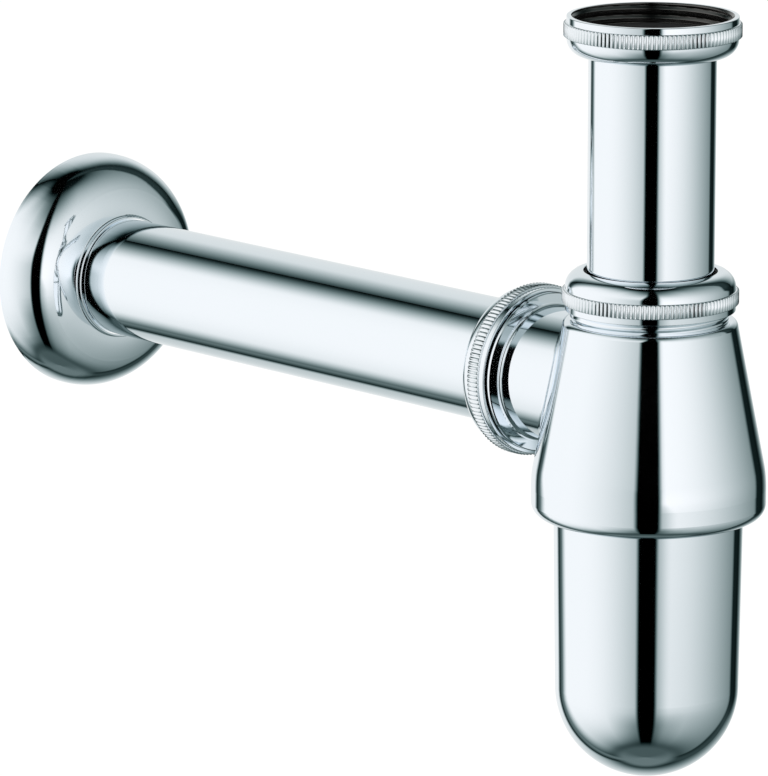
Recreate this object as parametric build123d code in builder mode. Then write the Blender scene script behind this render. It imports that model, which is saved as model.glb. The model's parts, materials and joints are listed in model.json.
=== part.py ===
"""A bottle trap for a wash basin, in chrome-plated brass, with its wall pipe and wall flange.

Millimetres. The origin is the centre of the inlet nut's mouth, where the basin waste screws in.
+Z points up along the dip tube, and +Y along the waste pipe, towards the wall.
"""

import os
from math import cos, radians, sin, tan

from build123d import *

# Tubes: the dip tube and the waste pipe are drawn to the same size
tube_diameter = 32.0
tube_wall = 0.9
tube_edge = 0.3

# Union nuts: three alike, on a pipe thread drawn as plain walls either side of its pitch line
thread_rise = 4.2
thread_clearance = 0.3
thread_spare = 0.3
tapping_step = 0.5
nut_height = 10.0
nut_wall = 1.15
nut_web = 2.3
nut_hole_clearance = 0.8
nut_shoulder = 4.3
nut_skirt = 1.7
knurl_width = 3.6
knurl_height = 0.75
knurl_depth = 0.45
knurl_teeth = 120

# Running and seating clearances
guide_clearance = 0.35
seal_clearance = 0.1
seat_gap = 0.1

# Inlet: the dip tube's flange hangs on the nut's web and carries a flat washer
flange_thickness = 0.9
flange_clearance = 0.3
washer_thickness = 1.6
washer_overhang = 0.4

# Compression seals of the neck and the outlet
slip_ring_thickness = 0.8
seal_thickness = 2.0
seal_cone = 1.6
seat_depth = 2.2
seal_inset = 1.0

# Neck of the body
tube_shown = 54.5
neck_gap = 2.5
thread_chamfer = 0.6
relief_depth = 0.4

# Bottle body: a cone over a plumb rim
body_step = 1.8
body_edge = 1.8
body_wall = 2.4
roof_thickness = 2.5
outlet_margin = 2.5
ledge_margin = 0.9
ledge_thickness = 2.5
ledge_width = 2.4
rim_wall = 4.9
rim_height = 10.3
rim_blend = 30.0
rim_edge = 3.5

# Cup
water_gap = 6.75
cup_wall = 1.2
cup_taper = 0.65
cup_thread_rise = 0.55
cup_thread_length = 8.1
cup_thread_shown = 0.6
gasket_thickness = 2.0
water_seal = 52.0
cup_sump = 8.3

# Outlet spigot and waste pipe
spigot_wall = 0.8
spigot_shown = 38.2
collar_width = 1.2
collar_rise = 0.55
collar_edge = 0.25
collar_foot = 0.9
groove_width = 0.4
groove_depth = 0.5
braze_fillet = 2.2
pipe_inset = 19.0
wall_distance = 218.5
pipe_stub = 15.0

# Wall flange, pressed from sheet: a rolled edge, a domed crown and a short lip around the pipe
flange_sheet = 0.6
flange_edge = 1.2
flange_roll = 12.6
flange_land = 0.1
crown_slope = 20.0
crown_round = 20.0
lip_fillet = 0.3
lip_height = 1.6
lip_edge = 0.25
flange_bore_clearance = 0.2

# Radii that follow from the sizes above
tube_radius = tube_diameter / 2
tube_bore = tube_radius - tube_wall
thread_radius = tube_radius + thread_rise
male_thread = thread_radius - thread_clearance / 2
female_thread = thread_radius + thread_clearance / 2
nut_radius = female_thread + nut_wall
nut_bore = female_thread - tapping_step
nut_hole = tube_radius + nut_hole_clearance
knurl_radius = nut_radius + knurl_height
dip_flange = nut_bore - flange_clearance
guide_bore = tube_radius + guide_clearance
seal_bore = tube_radius + seal_clearance
seat_mouth = guide_bore + seat_depth
seal_radius = male_thread - seal_inset
body_top_radius = male_thread + body_step
spigot_radius = guide_bore + spigot_wall
cup_radius = tube_radius + water_gap + cup_wall
cup_thread = cup_radius + cup_thread_rise
cup_seat = cup_thread + thread_clearance
rim_radius = cup_seat + rim_wall
flange_bore = tube_radius + flange_bore_clearance
lip_radius = flange_bore + flange_sheet

# Wall flange: the tangents of its roll and its crown meet the slope between them at two corners
roll_half_turn = radians((90 - crown_slope) / 2)
crown_half_turn = radians(crown_slope / 2)
roll_reach = flange_roll * tan(roll_half_turn)
crown_reach = crown_round * tan(crown_half_turn)
slope_length = roll_reach + flange_land + crown_reach
crown_radius = lip_radius + lip_fillet + flange_land + crown_reach
flange_radius = crown_radius + slope_length * cos(radians(crown_slope))
roll_height = flange_edge + roll_reach
flange_depth = roll_height + slope_length * sin(radians(crown_slope))

# Heights, down from the inlet
nut_room = nut_height - nut_web
flange_under = seat_gap - nut_room
flange_top = flange_under + flange_thickness
neck_nut_top = -nut_height - tube_shown
neck_mouth = neck_nut_top - nut_height
# How far the threaded end of a spigot stands inside its nut, under the slip ring and the seal
thread_engaged = nut_room - slip_ring_thickness - seal_thickness - 3 * seat_gap
thread_depth = thread_engaged + thread_spare
neck_top = neck_mouth + thread_engaged
body_top = neck_mouth - neck_gap
roof = body_top - roof_thickness
outlet_axis = body_top - outlet_margin - spigot_radius
ledge_top = outlet_axis - spigot_radius - ledge_margin
ledge_under = ledge_top - ledge_thickness
gasket_top = ledge_under - seat_gap
cup_top = gasket_top - gasket_thickness - seat_gap
body_under = cup_top - cup_thread_length
rim_top = body_under + rim_height
tube_end = outlet_axis - tube_bore - water_seal
cup_centre = tube_end - cup_sump
cup_round = cup_radius - cup_taper

# Distances along the waste pipe, from the dip tube's axis
spigot_end = spigot_shown + thread_engaged
collar_end = spigot_shown - groove_width
collar_start = collar_end - collar_width
pipe_start = spigot_end - pipe_inset
pipe_length = wall_distance + pipe_stub - pipe_start

# Base planes: each one's Z runs along the axis of what is turned on it
column = Plane.XY
outlet = Plane(origin=(0, 0, outlet_axis), x_dir=(1, 0, 0), z_dir=(0, 1, 0))
inlet_mouth = Plane(origin=(0, 0, 0), x_dir=(1, 0, 0), z_dir=(0, 0, -1))
neck_base = column.offset(neck_mouth)
outlet_base = outlet.offset(spigot_shown)
wall = Plane(origin=(0, wall_distance, outlet_axis), x_dir=(1, 0, 0), z_dir=(0, -1, 0))


def axis_of(base):
    """The axis that a base plane's pieces are turned on."""
    return Axis(base.origin, base.z_dir)


def half_section(base, *corners):
    """A closed outline beside a base plane's axis; a corner is its radius, height and rounding."""
    beside = Plane(origin=base.origin, x_dir=base.x_dir, z_dir=-base.y_dir)
    points = [(radius, height) for radius, height, rounding in corners]
    roundings = [rounding for radius, height, rounding in corners]
    with BuildSketch(beside) as section:
        with BuildLine():
            FilletPolyline(*points, radius=roundings, close=True)
        make_face()
    return section.sketch


def flat_ring(base, inner_radius, outer_radius, thickness):
    """A flat ring that stands on a base plane."""
    with BuildPart() as ring:
        with BuildSketch(base):
            Circle(outer_radius)
            Circle(inner_radius, mode=Mode.SUBTRACT)
        extrude(amount=thickness)
    return ring


def knurl_outline():
    """Tips and roots of the knurl's straight teeth, in turn around the nut."""
    tip = Vector(knurl_radius, 0)
    root = Vector(knurl_radius - knurl_depth, 0)
    pitch = 360 / knurl_teeth
    for tooth in range(knurl_teeth):
        yield tip.rotate(Axis.Z, tooth * pitch)
        yield root.rotate(Axis.Z, (tooth + 0.5) * pitch)


def union_nut(mouth):
    """A turned nut, open at its mouth, with a band of straight knurling and a round shoulder."""
    with BuildPart() as nut:
        turned = half_section(
            mouth,
            (nut_hole, nut_room, 0),
            (nut_bore, nut_room, 0),
            (nut_bore, thread_depth, 0),
            (female_thread, thread_depth, 0),
            (female_thread, 0, 0),
            (nut_radius, 0, 0),
            (nut_radius, nut_height, nut_shoulder),
            (nut_hole, nut_height, 0),
        )
        revolve(turned, axis=axis_of(mouth))
        with BuildSketch(mouth.offset(nut_skirt)):
            with BuildLine():
                Polyline(*knurl_outline(), close=True)
            make_face()
            Circle(female_thread + nut_wall / 2, mode=Mode.SUBTRACT)
        extrude(amount=knurl_width)
    return nut


def compression_seal(rim):
    """A rubber ring on the rim of a threaded end, with a cone that wedges into the end's seat."""
    with BuildPart() as seal:
        cone_top = seat_mouth - seat_gap
        section = half_section(
            rim,
            (seal_bore, -seal_cone, 0),
            (cone_top - seal_cone, -seal_cone, 0),
            (cone_top, 0, 0),
            (cone_top, seat_gap, 0),
            (seal_radius, seat_gap, 0),
            (seal_radius, seat_gap + seal_thickness, 0),
            (seal_bore, seat_gap + seal_thickness, 0),
        )
        revolve(section, axis=axis_of(rim))
    return seal


# The inlet nut, its mouth up, turns on the dip tube's flange
inlet_nut = union_nut(inlet_mouth)
inlet_nut.part.label = "inlet_nut"

# The dip tube hangs in the inlet nut by its flange and ends inside the cup, below the water
with BuildPart() as dip_tube:
    dip_section = half_section(
        column,
        (tube_bore, tube_end, 0),
        (tube_radius, tube_end, 0),
        (tube_radius, flange_under, 0),
        (dip_flange, flange_under, 0),
        (dip_flange, flange_top, 0),
        (tube_bore, flange_top, 0),
    )
    revolve(dip_section, axis=Axis.Z)
dip_tube.part.label = "dip_tube"

# The washer lies on that flange, where the basin waste presses it
inlet_washer = flat_ring(
    column.offset(flange_top), tube_bore + washer_overhang, dip_flange, washer_thickness
)
inlet_washer.part.label = "inlet_washer"

# The body: a conical bottle with a threaded neck on top and a threaded spigot to the wall
with BuildPart() as trap_body:
    relief = male_thread - relief_depth
    groove = male_thread - groove_depth
    collar = male_thread + collar_rise
    outside = half_section(
        column,
        (0, neck_top, 0),
        (male_thread - thread_chamfer, neck_top, 0),
        (male_thread, neck_top - thread_chamfer, 0),
        (male_thread, neck_mouth - seat_gap, 0),
        (relief, neck_mouth - seat_gap - relief_depth, 0),
        (relief, body_top, 0),
        (body_top_radius, body_top, body_edge),
        (rim_radius, rim_top, rim_blend),
        (rim_radius, body_under, rim_edge),
        (0, body_under, 0),
    )
    revolve(outside, axis=Axis.Z)
    # Plain neck, collar, groove and thread of the spigot, turned on the pipe's axis
    spigot = half_section(
        outlet,
        (0, 0, 0),
        (spigot_radius, 0, 0),
        (spigot_radius, collar_start, collar_foot),
        (collar - collar_edge, collar_start, 0),
        (collar, collar_start + collar_edge, 0),
        (collar, collar_end - collar_edge, 0),
        (collar - collar_edge, collar_end, 0),
        (groove, collar_end, 0),
        (groove, spigot_shown - groove_width / 2, 0),
        (male_thread, spigot_shown, 0),
        (male_thread, spigot_end - thread_chamfer, 0),
        (male_thread - thread_chamfer, spigot_end, 0),
        (0, spigot_end, 0),
    )
    revolve(spigot, axis=axis_of(outlet))
    # The braze runs round the seam where the spigot enters the cone
    seam = trap_body.edges().filter_by(GeomType.BSPLINE)
    fillet(seam, radius=braze_fillet)
    # The chamber: tube guide and seal seat, cone, ledge for the gasket, and thread for the cup
    chamber_slope = (rim_radius - body_top_radius) / (body_top - rim_top)
    chamber_top = body_top_radius + chamber_slope * roof_thickness - body_wall
    chamber_end = body_top_radius + chamber_slope * (body_top - ledge_top) - body_wall
    chamber = half_section(
        column,
        (0, neck_top, 0),
        (seat_mouth, neck_top, 0),
        (guide_bore, neck_top - seat_depth, 0),
        (guide_bore, roof, 0),
        (chamber_top, roof, 0),
        (chamber_end, ledge_top, 0),
        (cup_seat - ledge_width, ledge_top, 0),
        (cup_seat - ledge_width, ledge_under, 0),
        (cup_seat, ledge_under, 0),
        (cup_seat, body_under, 0),
        (0, body_under, 0),
    )
    revolve(chamber, axis=Axis.Z, mode=Mode.SUBTRACT)
    waterway = half_section(
        outlet,
        (0, 0, 0),
        (guide_bore, 0, 0),
        (guide_bore, spigot_end - seat_depth, 0),
        (seat_mouth, spigot_end, 0),
        (0, spigot_end, 0),
    )
    revolve(waterway, axis=axis_of(outlet), mode=Mode.SUBTRACT)
trap_body.part.label = "trap_body"

# Seal, slip ring and nut of the neck
neck_seal = compression_seal(column.offset(neck_top))
neck_seal.part.label = "neck_seal"
ring_place = seal_thickness + 2 * seat_gap
neck_slip_ring = flat_ring(
    column.offset(neck_top + ring_place), guide_bore, seal_radius, slip_ring_thickness
)
neck_slip_ring.part.label = "neck_slip_ring"
neck_nut = union_nut(neck_base)
neck_nut.part.label = "neck_nut"

# Seal, slip ring and nut of the outlet
outlet_seal = compression_seal(outlet.offset(spigot_end))
outlet_seal.part.label = "outlet_seal"
outlet_slip_ring = flat_ring(
    outlet.offset(spigot_end + ring_place), guide_bore, seal_radius, slip_ring_thickness
)
outlet_slip_ring.part.label = "outlet_slip_ring"
outlet_nut = union_nut(outlet_base)
outlet_nut.part.label = "outlet_nut"

# The cup screws up into the body's rim: a slightly tapered wall on a round bottom, its thread just in sight
with BuildPart() as cup:
    with BuildSketch(Plane.XZ):
        with BuildLine():
            shoulder = body_under - cup_thread_shown
            inner_round = cup_round - cup_wall
            bottom = CenterArc((0, cup_centre), cup_round, -90, 90)
            inside = CenterArc((0, cup_centre), inner_round, -90, 90)
            Polyline(
                bottom @ 1,
                (cup_radius, shoulder),
                (cup_thread, shoulder + cup_thread_rise),
                (cup_thread, cup_top - cup_thread_rise),
                (cup_radius, cup_top),
                (cup_radius - cup_wall, cup_top),
                inside @ 1,
            )
            Line(inside @ 0, bottom @ 0)
        make_face()
    revolve(axis=Axis.Z)
cup.part.label = "cup"

# The flat gasket between the cup's edge and the ledge in the body
cup_gasket = flat_ring(
    column.offset(gasket_top - gasket_thickness), cup_seat - ledge_width, cup_thread, gasket_thickness
)
cup_gasket.part.label = "cup_gasket"

# The waste pipe, from the body's chamber through the flange to the wall
with BuildPart() as waste_pipe:
    with BuildSketch(outlet.offset(pipe_start)):
        Circle(tube_radius)
        Circle(tube_bore, mode=Mode.SUBTRACT)
    extrude(amount=pipe_length)
    rims = waste_pipe.edges().filter_by(GeomType.CIRCLE).sort_by(SortBy.RADIUS)[-2:]
    chamfer(rims, length=tube_edge)
waste_pipe.part.label = "waste_pipe"

# The wall flange: the outside of its sheet from the wall to the lip, and the inside back again
with BuildPart() as wall_flange:
    lip_end = flange_depth + lip_height
    under_crown = flange_depth - flange_sheet
    inner_crown = crown_radius - flange_sheet * tan(crown_half_turn)
    inner_roll = roll_height - flange_sheet * tan(roll_half_turn)
    shell = half_section(
        wall,
        (flange_radius, 0, 0),
        (flange_radius, roll_height, flange_roll),
        (crown_radius, flange_depth, crown_round),
        (lip_radius, flange_depth, lip_fillet),
        (lip_radius, lip_end, lip_edge),
        (flange_bore, lip_end, 0),
        (flange_bore, under_crown, lip_fillet + flange_sheet),
        (inner_crown, under_crown, crown_round - flange_sheet),
        (flange_radius - flange_sheet, inner_roll, flange_roll - flange_sheet),
        (flange_radius - flange_sheet, 0, 0),
    )
    revolve(shell, axis=axis_of(wall))
wall_flange.part.label = "wall_flange"

os.makedirs("parts", exist_ok=True)
for piece in (
    inlet_nut,
    inlet_washer,
    dip_tube,
    neck_nut,
    neck_slip_ring,
    neck_seal,
    trap_body,
    cup,
    cup_gasket,
    outlet_nut,
    outlet_slip_ring,
    outlet_seal,
    waste_pipe,
    wall_flange,
):
    export_step(piece.part, f"parts/{piece.part.label}.step")
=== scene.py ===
"""The looks of a chrome bottle trap: knurled and threaded nuts, soft edges, finishes, studio and camera.

Metres, in the frame of the solids: the origin is the inlet nut's mouth, +Z up and +Y to the wall.
"""

import json
import math

import bmesh
import bpy
from mathutils import Matrix, Vector


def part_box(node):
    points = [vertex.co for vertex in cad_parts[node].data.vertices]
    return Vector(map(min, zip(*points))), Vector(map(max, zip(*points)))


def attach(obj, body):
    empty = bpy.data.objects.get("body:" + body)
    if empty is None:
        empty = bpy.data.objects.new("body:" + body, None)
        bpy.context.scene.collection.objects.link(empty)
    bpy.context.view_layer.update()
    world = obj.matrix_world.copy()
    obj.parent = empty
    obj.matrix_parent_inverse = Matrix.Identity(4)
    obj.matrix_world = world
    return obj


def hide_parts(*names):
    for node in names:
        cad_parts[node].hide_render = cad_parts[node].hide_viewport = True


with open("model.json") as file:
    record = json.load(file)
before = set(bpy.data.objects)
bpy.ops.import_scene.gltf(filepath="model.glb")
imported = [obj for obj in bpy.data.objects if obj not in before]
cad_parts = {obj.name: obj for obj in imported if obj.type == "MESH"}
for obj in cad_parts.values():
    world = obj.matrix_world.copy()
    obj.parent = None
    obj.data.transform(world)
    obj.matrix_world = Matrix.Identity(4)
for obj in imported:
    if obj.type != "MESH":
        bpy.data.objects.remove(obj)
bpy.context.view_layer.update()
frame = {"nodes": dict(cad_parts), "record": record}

MM = 0.001

# The photograph's camera: where it stands, and where it sees the origin
image_width = 768
image_height = 776
view_azimuth = math.radians(-42.762)
view_elevation = math.radians(12.594)
focal_pixels = 6048.7
sensor = 36.0
origin_depth = 1501.4 * MM
origin_pixel = (653.065, 14.961)

# Sizes read from the frame
mounts = {mount["name"]: mount for mount in frame["record"]["mounts"]}
female_thread = mounts["inlet"]["dims"]["r_mm"] * MM
thread_depth = mounts["inlet"]["dims"]["length_mm"] * MM
nut_low, nut_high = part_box("inlet_nut")
knurl_tip = nut_high.x
nut_height = nut_high.z - nut_low.z
pipe_low, pipe_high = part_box("waste_pipe")
tube_radius = pipe_high.x
outlet_axis = (pipe_low.z + pipe_high.z) / 2

# Union nuts, as in the solids, with softened edges
knurl_height = 0.75 * MM
knurl_depth = 0.45 * MM
knurl_start = 1.7 * MM
knurl_width = 3.6 * MM
knurl_teeth = 120
columns_per_tooth = 6
nut_radius = knurl_tip - knurl_height
nut_bore = female_thread - 0.5 * MM
nut_hole = tube_radius + 0.8 * MM
nut_room = nut_height - 2.3 * MM
nut_shoulder = 4.3 * MM
edge_break = 0.25 * MM
fine_break = 0.12 * MM
arc_steps = 6
sharp_angle = math.radians(58)
hair = 1e-6

# Pipe threads, 11 turns to the inch, and the cup's finer one
thread_pitch = 25.4 * MM / 11
thread_ridge = 0.6 * MM
thread_rows = 56
thread_clearance = 0.3 * MM
thread_proud = 0.15 * MM
thread_root = 0.35 * MM
thread_sink = 0.3 * MM
thread_end = 0.7 * MM
cup_pitch = 2.0 * MM
ridge_columns = 120
ridge_rows = 14
crest_slope = 1.6
run_in_turns = 0.3

# Where the threaded ends of the body and the cup begin
neck_gap = 2.5 * MM
cup_thread_length = 8.1 * MM

# Finishes: the usual reach of a noise, and how strongly it shows as relief
noise_low = 0.25
noise_high = 0.75
bump_strength = 0.5


def link_value(tree, socket, value):
    """Sets a socket to a number, or links it to another node's output."""
    if isinstance(value, bpy.types.NodeSocket):
        tree.links.new(value, socket)
    else:
        socket.default_value = value


def calc(tree, operation, *terms):
    """The output of a Math node."""
    node = tree.nodes.new("ShaderNodeMath")
    node.operation = operation
    for socket, term in zip(node.inputs, terms):
        link_value(tree, socket, term)
    return node.outputs["Value"]


def ease(tree, value, low, high, start=0.0, end=1.0):
    """A smooth step from start, where value is low, to end, where it is high."""
    node = tree.nodes.new("ShaderNodeMapRange")
    node.interpolation_type = "SMOOTHSTEP"
    link_value(tree, node.inputs["Value"], value)
    link_value(tree, node.inputs["From Min"], low)
    link_value(tree, node.inputs["From Max"], high)
    link_value(tree, node.inputs["To Min"], start)
    link_value(tree, node.inputs["To Max"], end)
    return node.outputs["Result"]


def choose(tree, switch, if_zero, if_one):
    """A mix of two numbers by a switch from 0 to 1."""
    node = tree.nodes.new("ShaderNodeMix")
    link_value(tree, node.inputs["Factor"], switch)
    link_value(tree, node.inputs["A"], if_zero)
    link_value(tree, node.inputs["B"], if_one)
    return node.outputs["Result"]


def noise(tree, scale):
    """A noise over the piece, in its own coordinates."""
    place = tree.nodes.new("ShaderNodeTexCoord")
    texture = tree.nodes.new("ShaderNodeTexNoise")
    texture.inputs["Scale"].default_value = scale
    tree.links.new(place.outputs["Object"], texture.inputs["Vector"])
    return texture.outputs["Fac"]


def finish(name, colour, metallic, roughness, spread, grain, relief):
    """A finish whose roughness and surface wander a little, at a grain in turns per metre."""
    material = bpy.data.materials.new(name)
    material.use_nodes = True
    tree = material.node_tree
    shader = tree.nodes["Principled BSDF"]
    shader.inputs["Base Color"].default_value = (*colour, 1)
    shader.inputs["Metallic"].default_value = metallic
    patches = noise(tree, grain)
    rough = ease(tree, patches, noise_low, noise_high, roughness - spread, roughness + spread)
    tree.links.new(rough, shader.inputs["Roughness"])
    bump = tree.nodes.new("ShaderNodeBump")
    bump.inputs["Distance"].default_value = relief
    bump.inputs["Strength"].default_value = bump_strength
    tree.links.new(patches, bump.inputs["Height"])
    tree.links.new(bump.outputs["Normal"], shader.inputs["Normal"])
    return material


# Which of a nut's finishes a face takes; the last is painted shade, a dark colour inside the hole and the
# bore
plated, knurled, shaded_inside = range(3)

chrome = finish("polished_chrome", (0.895, 0.94, 0.98), 1.0, 0.045, 0.015, 60.0, 0.002 * MM)
satin_chrome = finish("knurled_chrome", (0.88, 0.92, 0.95), 1.0, 0.14, 0.04, 400.0, 0.01 * MM)
# Painted shade: a dark colour that stands in for the shade inside a nut's hole and threaded bore
painted_shade_bore = finish("painted_shade_bore", (0.13, 0.125, 0.12), 1.0, 0.22, 0.05, 300.0, 0.01 * MM)
rubber = finish("black_rubber", (0.022, 0.022, 0.023), 0.0, 0.62, 0.08, 900.0, 0.05 * MM)
slip_plastic = finish("slip_plastic", (0.84, 0.84, 0.81), 0.0, 0.38, 0.05, 500.0, 0.02 * MM)

node_finish = {
    "inlet_washer": rubber,
    "neck_seal": rubber,
    "outlet_seal": rubber,
    "cup_gasket": rubber,
    "neck_slip_ring": slip_plastic,
    "outlet_slip_ring": slip_plastic,
}
for name, node in frame["nodes"].items():
    for slot in node.material_slots:
        slot.material = node_finish.get(name, chrome)


def rounded_outline(corners):
    """The points of a closed outline; a corner is its radius, its height and its rounding."""
    points = []
    for index, (radius, height, rounding) in enumerate(corners):
        corner = Vector((radius, height))
        if rounding == 0:
            points.append(corner)
            continue
        back = (Vector(corners[index - 1][:2]) - corner).normalized()
        ahead = (Vector(corners[(index + 1) % len(corners)][:2]) - corner).normalized()
        half_angle = back.angle(ahead) / 2
        centre = corner + (back + ahead).normalized() * (rounding / math.sin(half_angle))
        reach = rounding / math.tan(half_angle)
        start = corner + back * reach - centre
        end = corner + ahead * reach - centre
        turn = math.atan2(start.x * end.y - start.y * end.x, start.dot(end))
        for step in range(arc_steps + 1):
            points.append(centre + Matrix.Rotation(turn * step / arc_steps, 2) @ start)
    return points


def turned(name, place, outline, columns, radius_at, finish_at):
    """A piece turned from an outline.

    radius_at may wave the radius around the axis, and finish_at picks the finish of a band of faces.
    """
    mesh = bpy.data.meshes.new(name)
    grid = bmesh.new()
    rings = []
    for point in outline:
        ring = []
        for column in range(columns):
            angle = 2 * math.pi * column / columns
            radius = radius_at(point.x, point.y, angle)
            spot = Vector((radius * math.cos(angle), radius * math.sin(angle), point.y))
            ring.append(grid.verts.new(place @ spot))
        rings.append(ring)
    for index, ring in enumerate(rings):
        before = rings[index - 1]
        for column in range(columns):
            beside = column - 1
            face = grid.faces.new((before[beside], before[column], ring[column], ring[beside]))
            face.material_index = finish_at(outline[index - 1], outline[index])
    bmesh.ops.recalc_face_normals(grid, faces=grid.faces)
    grid.to_mesh(mesh)
    grid.free()
    mesh.shade_smooth()
    mesh.set_sharp_from_angle(angle=sharp_angle)
    piece = bpy.data.objects.new(name, mesh)
    bpy.context.scene.collection.objects.link(piece)
    return piece


def standing(origin, axis):
    """The placing matrix of a turned piece."""
    return Matrix.Translation(origin) @ Vector(axis).to_track_quat("Z", "Y").to_matrix().to_4x4()


def union_nut(node, place, ridge):
    """A nut with straight knurling outside and, where it shows, a screw thread inside."""
    knurl_root = knurl_tip - knurl_depth
    knurl_end = knurl_start + knurl_width
    wall = [(female_thread, thread_depth * (1 - row / thread_rows), 0) for row in range(1, thread_rows)]
    outline = rounded_outline([
        (nut_hole, nut_room, fine_break),
        (nut_bore, nut_room, fine_break),
        (nut_bore, thread_depth, fine_break),
        (female_thread, thread_depth, 0),
        *wall,
        (female_thread, 0, 0),
        (female_thread + edge_break, 0, 0),
        (nut_radius, 0, edge_break),
        (nut_radius, knurl_start, fine_break),
        (knurl_root, knurl_start, 0),
        (knurl_tip, knurl_start + edge_break, 0),
        (knurl_tip, knurl_end - edge_break, 0),
        (knurl_root, knurl_end, 0),
        (nut_radius, knurl_end, fine_break),
        (nut_radius, nut_height, nut_shoulder),
        (nut_hole, nut_height, edge_break),
    ])

    def radius_at(radius, height, angle):
        if radius > knurl_root:
            return knurl_root + (radius - knurl_root) * (1 + math.cos(angle * knurl_teeth)) / 2
        on_thread = abs(radius - female_thread) < hair and 0 < height < thread_depth
        if on_thread:
            turn = (height / thread_pitch - angle / (2 * math.pi)) % 1
            crest = min(1.0, crest_slope * (1 - abs(2 * turn - 1)))
            run_in = min(1.0, height / (run_in_turns * thread_pitch))
            return radius - ridge * crest * run_in
        return radius

    def finish_at(start, end):
        widest = max(start.x, end.x)
        if widest > nut_radius + fine_break:
            return knurled
        # Faces in the hole and the threaded bore take the painted shade
        in_hole = widest < nut_hole + hair
        in_bore = widest < female_thread + hair and max(start.y, end.y) < nut_room + hair
        return shaded_inside if in_hole or in_bore else plated

    nut = turned(node + "_knurled", place, outline, knurl_teeth * columns_per_tooth, radius_at, finish_at)
    for coat in (chrome, satin_chrome, painted_shade_bore):
        nut.data.materials.append(coat)
    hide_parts(node)
    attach(nut, node)


def screw_thread(name, node, place, wall, length, pitch):
    """A ridge that winds round a threaded end and stands a little proud of its wall."""
    root = wall - thread_root
    rows = round(length / pitch * ridge_rows)
    outline = [Vector((root, length * row / rows)) for row in range(rows + 1)]
    outline.append(Vector((root - thread_sink, length)))
    outline.append(Vector((root - thread_sink, 0)))

    def radius_at(radius, height, angle):
        if radius < root:
            return radius
        turn = (height / pitch - angle / (2 * math.pi)) % 1
        run_in = min(1.0, min(height, length - height) / (run_in_turns * pitch))
        return root + (thread_root + thread_proud) * run_in * (1 - abs(2 * turn - 1))

    def finish_at(start, end):
        return plated

    ridge = turned(name, place, outline, ridge_columns, radius_at, finish_at)
    ridge.data.materials.append(chrome)
    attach(ridge, node)


neck_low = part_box("neck_nut")[0]
outlet_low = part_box("outlet_nut")[0]
body_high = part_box("trap_body")[1]
cup_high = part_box("cup")[1]
male_thread = female_thread - thread_clearance
neck_start = neck_low.z - neck_gap
cup_start = cup_high.z - cup_thread_length
screw_thread(
    "neck_thread", "trap_body", standing((0, 0, neck_start), (0, 0, 1)),
    male_thread, body_high.z - neck_start - thread_end, thread_pitch,
)
screw_thread(
    "outlet_thread", "trap_body", standing((0, outlet_low.y, outlet_axis), (0, 1, 0)),
    male_thread, body_high.y - outlet_low.y - thread_end, thread_pitch,
)
screw_thread(
    "cup_thread", "cup", standing((0, 0, cup_start), (0, 0, 1)),
    cup_high.x, cup_thread_length - thread_end, cup_pitch,
)
union_nut("inlet_nut", standing((0, 0, nut_high.z), (0, 0, -1)), thread_ridge)
union_nut("neck_nut", standing((0, 0, neck_low.z), (0, 0, 1)), 0.0)
union_nut("outlet_nut", standing((0, outlet_low.y, outlet_axis), (0, 1, 0)), 0.0)


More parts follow.
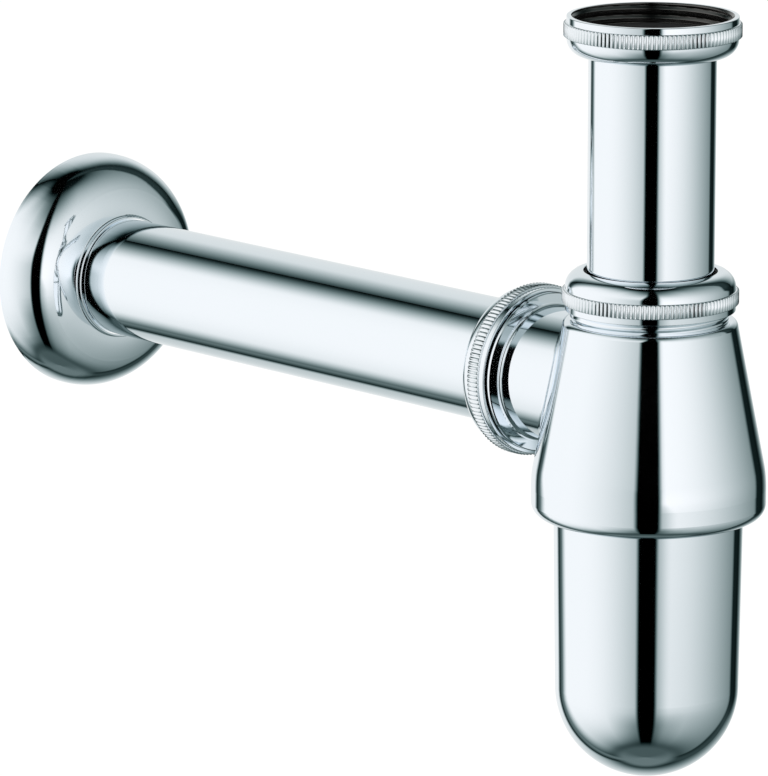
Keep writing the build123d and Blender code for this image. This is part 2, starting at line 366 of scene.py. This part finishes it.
def studio():
    """White for the camera, a tent of three soft screens with dark gaps for gloss, even light for the rest.

    Angles are in degrees: side is round the object from the camera, to its right, and height is above level.
    """
    world = bpy.data.worlds.new("studio")
    bpy.context.scene.world = world
    world.use_nodes = True
    tree = world.node_tree
    background = tree.nodes["Background"]
    direction = tree.nodes.new("ShaderNodeTexCoord").outputs["Generated"]

    def along(vector):
        node = tree.nodes.new("ShaderNodeVectorMath")
        node.operation = "DOT_PRODUCT"
        tree.links.new(direction, node.inputs[0])
        node.inputs[1].default_value = vector
        return node.outputs["Value"]

    # The right screen's hot spot, the gap for the camera, and where the front screens meet the rear one
    hot_side, hot_width = 34, 64
    hot_height, hot_below, hot_above = -4, 17, 40
    gap_right = 6.5
    gap_edge = 5.5
    shade_width = 45
    far_corner = 139

    towards = (math.sin(view_azimuth), -math.cos(view_azimuth), 0)
    rightwards = (math.cos(view_azimuth), math.sin(view_azimuth), 0)
    degree = 180 / math.pi
    side = calc(tree, "MULTIPLY", calc(tree, "ARCTAN2", along(rightwards), along(towards)), degree)
    height = calc(tree, "MULTIPLY", calc(tree, "ARCSINE", along((0, 0, 1))), degree)
    breadth = calc(tree, "ABSOLUTE", side)
    steep = calc(tree, "ABSOLUTE", height)

    def bell(angle, middle, spread):
        offset = calc(tree, "DIVIDE", calc(tree, "SUBTRACT", angle, middle), spread)
        return calc(tree, "EXPONENT", calc(tree, "MULTIPLY", calc(tree, "POWER", offset, 2), -1))

    def pillow(angle, middle, reach):
        offset = calc(tree, "DIVIDE", calc(tree, "SUBTRACT", angle, middle), reach)
        inside = calc(tree, "SUBTRACT", 1, calc(tree, "POWER", offset, 4))
        return calc(tree, "POWER", calc(tree, "MAXIMUM", inside, 0), 1.6)

    # Screens: how bright each is, by the angle round the object from the camera
    left_fall = calc(tree, "MAXIMUM", calc(tree, "DIVIDE", calc(tree, "ADD", side, 92), 87.5), 0)
    left_loss = ease(tree, height, 5, 22, 0.57, 0.25)
    left_fall = calc(tree, "POWER", left_fall, 2)
    left = calc(tree, "SUBTRACT", 1.0, calc(tree, "MULTIPLY", left_loss, left_fall))
    left = calc(tree, "MULTIPLY", left, pillow(height, 2.5, 73))
    hot_fall = choose(tree, calc(tree, "GREATER_THAN", height, hot_height), hot_below, hot_above)
    hot_spot = calc(tree, "MULTIPLY", bell(side, hot_side, hot_width), bell(height, hot_height, hot_fall))
    right = calc(tree, "MULTIPLY_ADD", side, -0.004, 0.73)
    right = calc(tree, "MULTIPLY", right, pillow(height, 1, 74))
    right = calc(tree, "MULTIPLY_ADD", hot_spot, 0.43, right)
    right_start = ease(tree, height, -14, -4, 28, 16)
    right = calc(tree, "MULTIPLY", right, ease(tree, side, 4, right_start, 0.45, 1.0))
    rear = calc(tree, "MULTIPLY_ADD", bell(height, -14, 13), 0.12, 0.79)
    rear = calc(tree, "MULTIPLY", rear, pillow(height, 3, 70))
    front = choose(tree, calc(tree, "GREATER_THAN", side, 0), left, right)

    # The gap for the camera: wide below, a seam above, with darker screen beside it high and low
    gap_left = ease(tree, height, 4, 45, 12.5, 4.5)
    to_left = calc(tree, "SUBTRACT", calc(tree, "MULTIPLY", side, -1), gap_left)
    past_gap = calc(tree, "MAXIMUM", to_left, calc(tree, "SUBTRACT", side, gap_right))
    beside_gap = calc(tree, "MINIMUM", calc(tree, "DIVIDE", past_gap, shade_width), 1)
    corner = calc(tree, "SUBTRACT", 1.0, beside_gap)
    shade_low = ease(tree, height, -42, -12, 0.6, 0.0)
    shade_high = ease(tree, height, 18, 62, 0.0, 0.8)
    shade = calc(tree, "ADD", shade_low, shade_high)
    corner = calc(tree, "MULTIPLY", corner, shade)
    front = calc(tree, "MULTIPLY", front, calc(tree, "SUBTRACT", 1.0, corner))
    front = calc(tree, "MULTIPLY", front, ease(tree, past_gap, 0, gap_edge))

    # The gaps at the two far corners
    left_corner = calc(tree, "ADD", side, far_corner)
    left_width = calc(tree, "MULTIPLY_ADD", steep, ease(tree, height, -15, 15, 0.6, 0.8), 8)
    left_end = ease(tree, left_corner, 0, left_width)
    right_shift = ease(tree, height, -4, 7, 138.5, 127)
    right_shift = calc(tree, "ADD", right_shift, ease(tree, height, 12, 32, 0, 5))
    right_corner = calc(tree, "SUBTRACT", side, right_shift)
    right_low = ease(tree, height, -45, -18, 9, 0)
    right_end = ease(tree, calc(tree, "ADD", right_corner, right_low), -15, -7, 1.0, 0.0)
    front = calc(tree, "MULTIPLY", front, calc(tree, "MULTIPLY", left_end, right_end))
    rear_left_start = ease(tree, height, 10, 40, -13, -38)
    rear_left_end = ease(tree, height, 10, 40, -4, 8)
    rear_left = ease(tree, left_corner, rear_left_start, rear_left_end, 1, 0)
    rear_right = ease(tree, right_corner, ease(tree, height, -32, -16, -14, 4), 44)
    rear = calc(tree, "MULTIPLY", rear, calc(tree, "MAXIMUM", rear_left, rear_right))
    level = choose(tree, calc(tree, "GREATER_THAN", breadth, far_corner), front, rear)

    # Neither far gap is quite black
    grey_left = ease(tree, height, -5, 25, 0.17, 0.0)
    grey_left = calc(tree, "MULTIPLY", bell(left_corner, 6, 7), grey_left)
    grey_right = ease(tree, height, -30, -16, 0.055, 0.012)
    grey_right = calc(tree, "ADD", grey_right, ease(tree, height, 0, 16, 0.0, 0.025))
    grey_right = calc(tree, "MULTIPLY", bell(right_corner, -4, 14), grey_right)
    level = calc(tree, "MAXIMUM", level, calc(tree, "MAXIMUM", grey_left, grey_right))

    # A grey floor
    floor_level = ease(tree, breadth, 60, 140, 0.1, 0.19)
    level = choose(tree, ease(tree, height, -74, -62), floor_level, level)

    # Greys lean to blue-green
    red = calc(tree, "POWER", level, 1.18)
    colour = tree.nodes.new("ShaderNodeCombineColor")
    tree.links.new(red, colour.inputs["Red"])
    tree.links.new(level, colour.inputs["Green"])
    tree.links.new(level, colour.inputs["Blue"])

    path = tree.nodes.new("ShaderNodeLightPath")
    ambient = tree.nodes.new("ShaderNodeMix")
    ambient.data_type = "RGBA"
    tree.links.new(path.outputs["Is Glossy Ray"], ambient.inputs["Factor"])
    ambient.inputs["A"].default_value = (0.8, 0.8, 0.8, 1)
    tree.links.new(colour.outputs["Color"], ambient.inputs["B"])
    seen = tree.nodes.new("ShaderNodeMix")
    seen.data_type = "RGBA"
    tree.links.new(path.outputs["Is Camera Ray"], seen.inputs["Factor"])
    tree.links.new(ambient.outputs["Result"], seen.inputs["A"])
    seen.inputs["B"].default_value = (1, 1, 1, 1)
    tree.links.new(seen.outputs["Result"], background.inputs["Color"])


studio()


def floor():
    """A wide pale floor well below the trap."""
    mesh = bpy.data.meshes.new("floor")
    half = 12.0
    drop = -0.6
    glow = 0.82
    corners = [(-half, -half, drop), (half, -half, drop), (half, half, drop), (-half, half, drop)]
    mesh.from_pydata(corners, [], [(0, 1, 2, 3)])
    plane = bpy.data.objects.new("floor", mesh)
    bpy.context.scene.collection.objects.link(plane)
    plane.visible_glossy = False
    material = bpy.data.materials.new("pale_floor")
    material.use_nodes = True
    tree = material.node_tree
    shader = tree.nodes["Principled BSDF"]
    shader.inputs["Base Color"].default_value = (0.25, 0.25, 0.25, 1)
    shader.inputs["Roughness"].default_value = 1.0
    shader.inputs["Specular IOR Level"].default_value = 0.0
    path = tree.nodes.new("ShaderNodeLightPath")
    shader.inputs["Emission Color"].default_value = (1, 1, 1, 1)
    strength = calc(tree, "MULTIPLY", path.outputs["Is Camera Ray"], glow)
    tree.links.new(strength, shader.inputs["Emission Strength"])
    mesh.materials.append(material)


floor()


def lamp(name, location, size, power):
    """A soft square lamp that faces the trap."""
    light = bpy.data.lights.new(name, "AREA")
    light.size = size
    light.energy = power
    holder = bpy.data.objects.new(name, light)
    holder.location = location
    trap_middle = Vector((0, 0.05, -0.1))
    aim = trap_middle - Vector(location)
    holder.rotation_euler = aim.to_track_quat("-Z", "Y").to_euler()
    holder.visible_glossy = False
    bpy.context.scene.collection.objects.link(holder)


lamp("key_lamp", (-1.4, -0.9, 1.3), 1.2, 14.0)
lamp("fill_lamp", (1.3, -1.2, 0.6), 1.2, 6.0)


def camera():
    """The photograph's own view."""
    back = Vector((
        math.sin(view_azimuth) * math.cos(view_elevation),
        -math.cos(view_azimuth) * math.cos(view_elevation),
        math.sin(view_elevation),
    ))
    right = Vector((math.cos(view_azimuth), math.sin(view_azimuth), 0))
    up = back.cross(right)
    across = (origin_pixel[0] - image_width / 2) / focal_pixels * origin_depth
    above = (image_height / 2 - origin_pixel[1]) / focal_pixels * origin_depth
    lens = bpy.data.cameras.new("camera")
    lens.sensor_width = sensor
    lens.lens = sensor * focal_pixels / max(image_width, image_height)
    lens.clip_start = 0.1
    lens.clip_end = 50.0
    holder = bpy.data.objects.new("camera", lens)
    holder.location = back * origin_depth - right * across - up * above
    holder.rotation_euler = (-back).to_track_quat("-Z", "Y").to_euler()
    bpy.context.scene.collection.objects.link(holder)
    bpy.context.scene.camera = holder


camera()
bpy.context.scene.view_settings.view_transform = "Standard"
